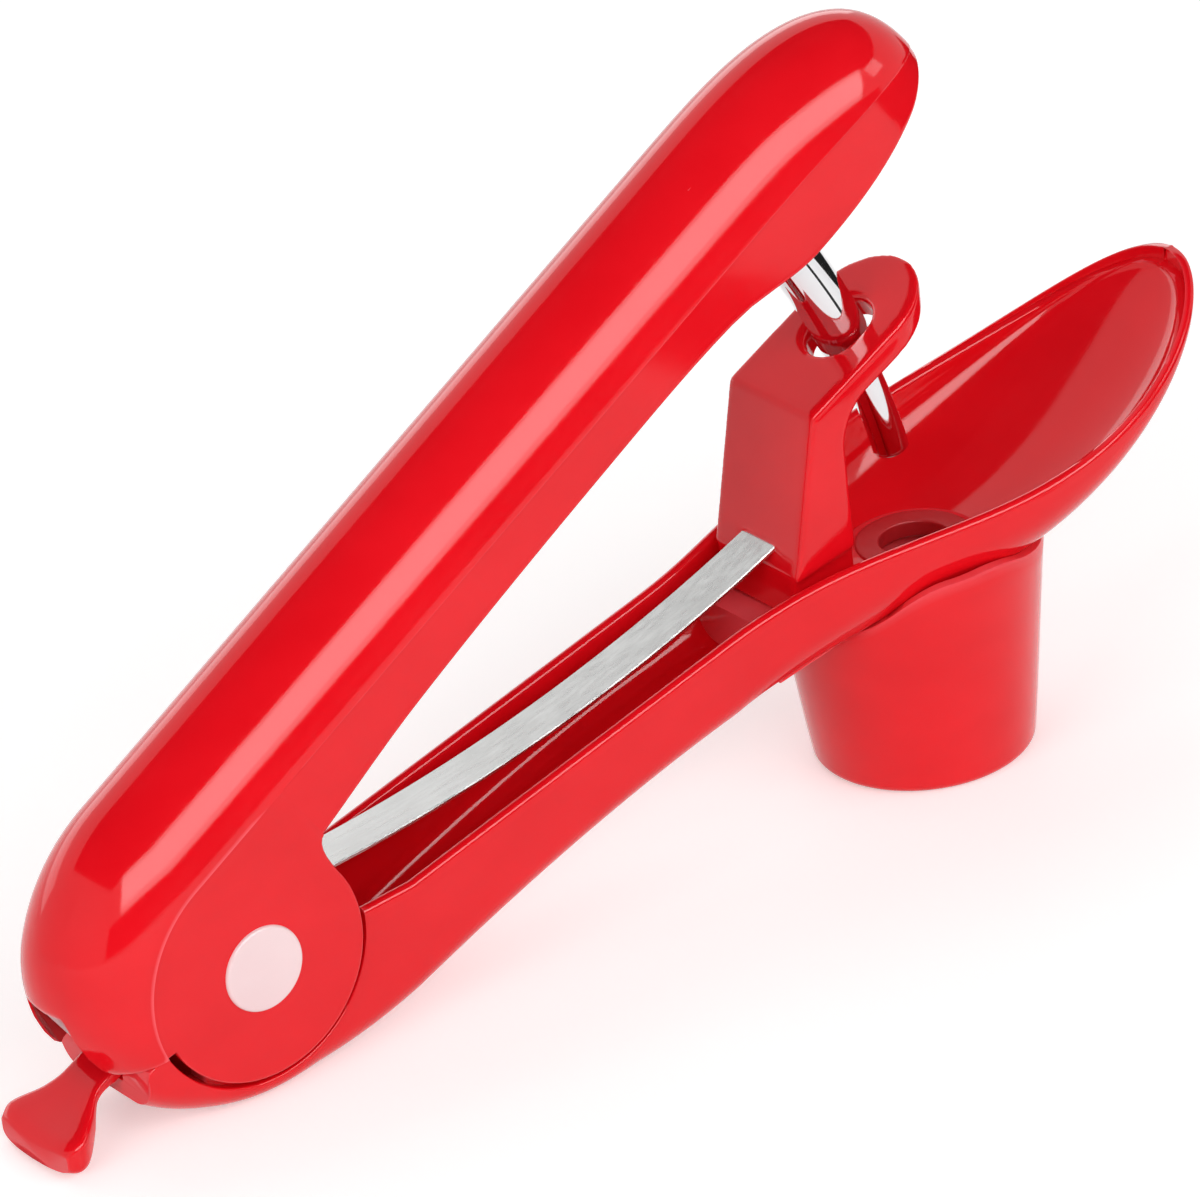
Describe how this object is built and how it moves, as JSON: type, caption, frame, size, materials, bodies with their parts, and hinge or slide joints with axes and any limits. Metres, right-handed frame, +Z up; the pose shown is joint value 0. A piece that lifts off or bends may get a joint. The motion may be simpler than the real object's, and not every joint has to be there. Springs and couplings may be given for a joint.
{
  "type": "cherry pitter",
  "caption": "Hand-held cherry pitter: a crowned press handle swings a curved plunger through a guide into a boat-shaped cup, and a chute below carries the stones away.",
  "frame": {"origin": "centre of the chute outlet, on the surface that the object stands on", "axes": "+X towards the tip of the cup, +Y across, +Z up"},
  "size_m": [0.1938, 0.0384, 0.1081],
  "materials": {
    "red_plastic": "glossy moulded surface, saturated red",
    "pale_plastic": "glossy pale pink white",
    "bright_chrome": "mirror bright chrome",
    "spring_steel": "satin strip steel",
    "plain_steel": "turned steel",
    "bearing_plastic": "matt off-white plastic",
    "soft_ring": "soft silicone"
  },
  "bodies": {
    "base": {"lower_handle": "red_plastic", "guide_bracket": "red_plastic", "bracket_screws": "plain_steel", "leaf_spring": "spring_steel", "spring_pin": "plain_steel", "pit_chute": "red_plastic", "chute_ring": "soft_ring", "seat_ring": "soft_ring", "pivot_pin": "plain_steel", "thrust_washers": "bearing_plastic"},
    "press": {"upper_handle": "red_plastic", "plunger_shank": "bright_chrome", "plunger_tip": "bright_chrome", "rod_cross_pin": "plain_steel", "pivot_bushes": "bearing_plastic", "near_pivot_cap": "pale_plastic", "far_pivot_cap": "pale_plastic"},
    "lock": {"lock_slider": "red_plastic"}
  },
  "joints": [
    {"name": "press_hinge", "type": "hinge", "parent": "base", "child": "press", "pos_m": [-0.1143, 0, 0.0195], "axis": [0, 1, 0], "range_deg": [0, 15], "stiffness_Nm_per_rad": 1.2, "springref_deg": -20.05, "deforming": ["leaf_spring"]},
    {"name": "lock_slide", "type": "slide", "parent": "base", "child": "lock", "axis": [0.891, 0, 0.454], "range_m": [0, 0.004]}
  ]
}
